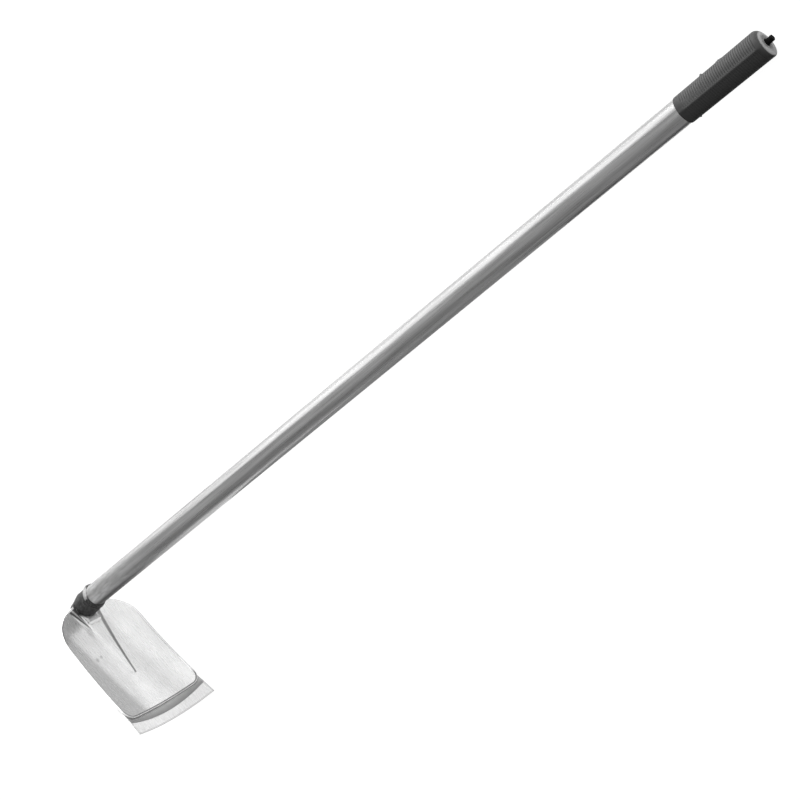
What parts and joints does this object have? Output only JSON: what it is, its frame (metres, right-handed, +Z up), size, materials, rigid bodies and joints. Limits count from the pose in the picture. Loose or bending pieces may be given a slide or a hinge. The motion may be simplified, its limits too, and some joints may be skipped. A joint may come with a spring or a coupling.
{
  "type": "weeding hoe",
  "caption": "Hoe lying on its side: a dished steel blade with a raised triangular rib and a lapped, bevelled edge strip, a black neck, a long steel tube and a ribbed rubber grip.",
  "frame": {"origin": "centre of the bounding box, at the floor", "axes": "+X along the handle from the blade towards the grip, +Y from the cutting edge towards the blade's top, +Z up from the floor that the hoe lies on"},
  "size_m": [1.2458, 0.2132, 0.1541],
  "materials": {
    "polished_steel": "pressed and polished, with fine scratches and a heat tint by the neck",
    "hardened_steel": "dark from hardening, with a bright ground bevel",
    "weld_metal": "rippled weld bead",
    "blackened_iron": "black from the heat, lightly pitted",
    "brushed_tube_steel": "brushed along its length",
    "dark_rubber": "matt, moulded in fine rings",
    "black_plastic": "rough moulded"
  },
  "bodies": {
    "root": {"blade_sheet": "polished_steel", "edge_strip": "hardened_steel", "strip_weld": "weld_metal", "neck_socket": "blackened_iron", "neck_weld": "weld_metal", "tube_weld": "weld_metal", "handle_tube": "brushed_tube_steel", "rubber_grip": "dark_rubber", "end_plug": "black_plastic"}
  },
  "joints": []
}
